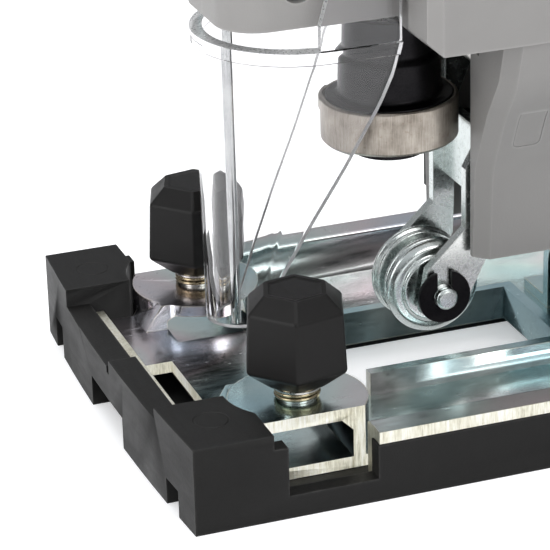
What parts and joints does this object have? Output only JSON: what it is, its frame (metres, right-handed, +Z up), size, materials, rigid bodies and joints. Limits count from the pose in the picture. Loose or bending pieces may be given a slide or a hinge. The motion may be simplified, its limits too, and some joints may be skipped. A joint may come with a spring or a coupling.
{
  "type": "jigsaw power tool",
  "caption": "Corded jigsaw with a D handle, clear blade guard, ring blade clamp, guide roller and a black covered steel shoe with guide knobs.",
  "frame": {"origin": "point where the blade line crosses the sole plane", "axes": "-X is the cutting direction, -Y the tool's left side, +Z up from the sole"},
  "size_m": [0.1845, 0.083, 0.198],
  "materials": {
    "grey_plastic": "fine texture",
    "black_plastic": "fine texture",
    "soft_grip": "matt",
    "clear_plastic": "clear",
    "zinc_steel": "zinc plated",
    "steel": "turned",
    "black_steel": "black oxide",
    "spring_steel": "drawn",
    "bronze": "sintered",
    "alloy": "cast",
    "copper": "varnished",
    "carbon": "pressed"
  },
  "bodies": {
    "shoe": {"shoe_cover": "black_plastic", "base_plate": "zinc_steel", "tilt_ridge": "zinc_steel", "ridge_rivets": "zinc_steel"},
    "tool": {"housing_left": "grey_plastic", "housing_right": "grey_plastic", "housing_screws": "black_steel", "grip_pad": "soft_grip", "leg_plugs": "grey_plastic", "tilt_saddle": "alloy", "bevel_clamp_shoe": "steel", "bevel_screw": "steel", "finger_wire": "steel", "plunger_bushes": "bronze", "gear_bulkhead": "alloy", "gear_post": "steel", "motor_bearings": "steel", "motor_stator": "steel", "field_coils": "copper", "brush_holders": "bronze", "carbon_brushes": "carbon", "cord_gland": "black_plastic", "dust_port": "black_plastic", "switch_body": "black_plastic", "fork_pivot_pin": "steel"},
    "plunger": {"plunger": "steel", "scotch_yoke": "steel", "blade_socket": "black_steel"},
    "clamp": {"clamp_ring": "steel", "clamp_collar": "black_steel"},
    "guard": {"blade_guard": "clear_plastic"},
    "fork": {"roller_fork": "zinc_steel", "roller_pin": "steel", "roller_clips": "black_steel"},
    "roller": {"guide_roller": "zinc_steel"},
    "motor": {"motor_shaft": "steel", "armature_core": "steel", "armature_windings": "copper", "commutator": "copper", "cooling_fan": "black_plastic"},
    "crank": {"crank_gear": "steel"},
    "trigger": {"trigger": "black_plastic"},
    "lock": {"lock_button": "black_plastic"},
    "dial": {"speed_dial": "black_plastic"},
    "selector": {"orbit_selector": "black_plastic"},
    "left_washer": {"left_knob_washer": "steel", "left_knob_spring": "spring_steel"},
    "left_knob": {"left_guide_knob": "black_plastic", "left_knob_stud": "steel"},
    "right_washer": {"right_knob_washer": "steel", "right_knob_spring": "spring_steel"},
    "right_knob": {"right_guide_knob": "black_plastic", "right_knob_stud": "steel"}
  },
  "joints": [
    {"name": "bevel_tilt", "type": "hinge", "parent": "shoe", "child": "tool", "pos_m": [0.056, 0, 0.012], "axis": [1, 0, 0], "range_deg": [-15, 15]},
    {"name": "plunger_stroke", "type": "slide", "parent": "tool", "child": "plunger", "axis": [0, 0, 1], "range_m": [0, 0.02]},
    {"name": "clamp_release", "type": "hinge", "parent": "plunger", "child": "clamp", "pos_m": [0, 0, 0.048], "axis": [0, 0, 1], "range_deg": [0, 60], "stiffness_Nm_per_rad": 0.02},
    {"name": "guard_swing", "type": "hinge", "parent": "tool", "child": "guard", "pos_m": [-0.0094, 0, 0.092], "axis": [0, 1, 0], "range_deg": [0, 70]},
    {"name": "fork_swing", "type": "hinge", "parent": "tool", "child": "fork", "pos_m": [0.0152, 0, 0.057], "axis": [0, 1, 0], "range_deg": [0, 3]},
    {"name": "roller_spin", "type": "hinge", "parent": "fork", "child": "roller", "pos_m": [0.0062, 0, 0.0174], "axis": [0, 1, 0], "continuous": true},
    {"name": "motor_spin", "type": "hinge", "parent": "tool", "child": "motor", "pos_m": [0.057, 0, 0.0855], "axis": [1, 0, 0], "continuous": true},
    {"name": "crank_spin", "type": "hinge", "parent": "tool", "child": "crank", "pos_m": [0.0115, 0, 0.11], "axis": [1, 0, 0], "continuous": true},
    {"name": "trigger_press", "type": "slide", "parent": "tool", "child": "trigger", "axis": [0, 0, 1], "range_m": [0, 0.005], "stiffness_N_per_m": 600, "springref_m": -0.002},
    {"name": "lock_press", "type": "slide", "parent": "tool", "child": "lock", "axis": [0, 1, 0], "range_m": [0, 0.003], "stiffness_N_per_m": 300, "springref_m": -0.001},
    {"name": "speed_turn", "type": "hinge", "parent": "tool", "child": "dial", "pos_m": [-0.006, 0, 0.187], "axis": [0, 1, 0], "range_deg": [0, 270]},
    {"name": "orbit_select", "type": "hinge", "parent": "tool", "child": "selector", "pos_m": [0.0176, 0.0195, 0.04], "axis": [0, 1, 0], "range_deg": [-90, 0]},
    {"name": "left_knob_lift", "type": "slide", "parent": "shoe", "child": "left_washer", "axis": [0, 0, 1], "range_m": [0, 0.0025], "deforming": ["left_knob_spring"]},
    {"name": "left_knob_turn", "type": "hinge", "parent": "left_washer", "child": "left_knob", "pos_m": [-0.0262, -0.0253, 0.024], "axis": [0, 0, 1], "range_deg": [0, 722]},
    {"name": "right_knob_lift", "type": "slide", "parent": "shoe", "child": "right_washer", "axis": [0, 0, 1], "range_m": [0, 0.0025], "deforming": ["right_knob_spring"]},
    {"name": "right_knob_turn", "type": "hinge", "parent": "right_washer", "child": "right_knob", "pos_m": [-0.0262, 0.0253, 0.024], "axis": [0, 0, 1], "range_deg": [0, 722]}
  ],
  "couplings": [
    {"joint": "crank_spin", "follows": "motor_spin", "ratio": -0.125},
    {"joint": "left_knob_turn", "follows": "left_knob_lift", "rad_per_m": 5026.5},
    {"joint": "right_knob_turn", "follows": "right_knob_lift", "rad_per_m": 5026.5}
  ]
}
